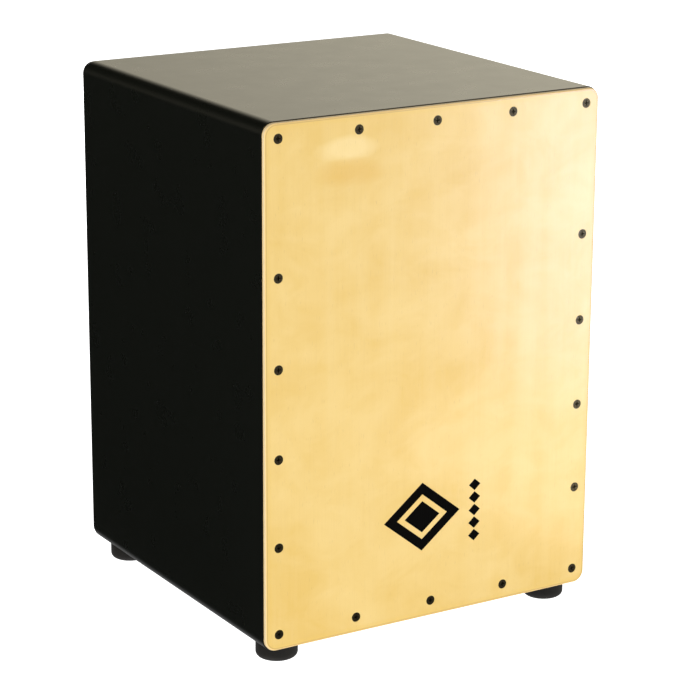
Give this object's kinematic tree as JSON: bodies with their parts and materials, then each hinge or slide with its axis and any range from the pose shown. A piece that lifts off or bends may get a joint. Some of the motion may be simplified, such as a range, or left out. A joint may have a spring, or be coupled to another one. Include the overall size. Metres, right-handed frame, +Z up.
{
  "type": "cajon",
  "caption": "Box drum to sit on: black painted box with rounded long edges, a pale veneered playing plate screwed round its edge, a round port in the back and rubber feet.",
  "frame": {"origin": "on the floor under the middle of the box", "axes": "+Z up, -Y out of the playing plate (front), +Y out of the sound port (back), +X to the right as seen from the front"},
  "size_m": [0.3, 0.298, 0.424],
  "materials": {
    "plate_veneer": "clear satin over pale birch veneer",
    "painted_board": "satin black paint on fibreboard, bare inside",
    "softwood": "planed, unfinished",
    "hardwood": "planed beech, unfinished",
    "black_steel": "black oxide, satin",
    "zinc_steel": "bright zinc",
    "brass_strip": "mill",
    "snare_steel": "drawn spring wire",
    "foot_rubber": "satin moulded"
  },
  "bodies": {
    "body": {"back_panel": "painted_board", "bottom_panel": "painted_board", "foot_front_left": "foot_rubber", "foot_front_right": "foot_rubber", "foot_rear_left": "foot_rubber", "foot_rear_right": "foot_rubber", "foot_screws": "zinc_steel", "foot_washers": "zinc_steel", "front_batten_bottom": "softwood", "front_batten_left": "softwood", "front_batten_right": "softwood", "front_batten_top": "softwood", "front_plate": "plate_veneer", "left_panel": "painted_board", "plate_screws": "black_steel", "rear_batten_bottom": "softwood", "rear_batten_left": "softwood", "rear_batten_right": "softwood", "rear_batten_top": "softwood", "right_panel": "painted_board", "snare_anchor_left": "brass_strip", "snare_anchor_right": "brass_strip", "snare_bar": "hardwood", "snare_bar_block_left": "hardwood", "snare_bar_block_right": "hardwood", "snare_bar_screws": "zinc_steel", "snare_clamp_left": "zinc_steel", "snare_clamp_right": "zinc_steel", "snare_clamp_screws": "zinc_steel", "snare_wires_left": "snare_steel", "snare_wires_right": "snare_steel", "top_panel": "painted_board"},
    "corner_screw_left": {"corner_screw_left": "black_steel"},
    "corner_screw_right": {"corner_screw_right": "black_steel"}
  },
  "joints": [
    {"name": "corner_screw_left_out", "type": "slide", "parent": "body", "child": "corner_screw_left", "axis": [0, -1, 0], "range_m": [0, 0.002]},
    {"name": "corner_screw_right_out", "type": "slide", "parent": "body", "child": "corner_screw_right", "axis": [0, -1, 0], "range_m": [0, 0.002]}
  ]
}
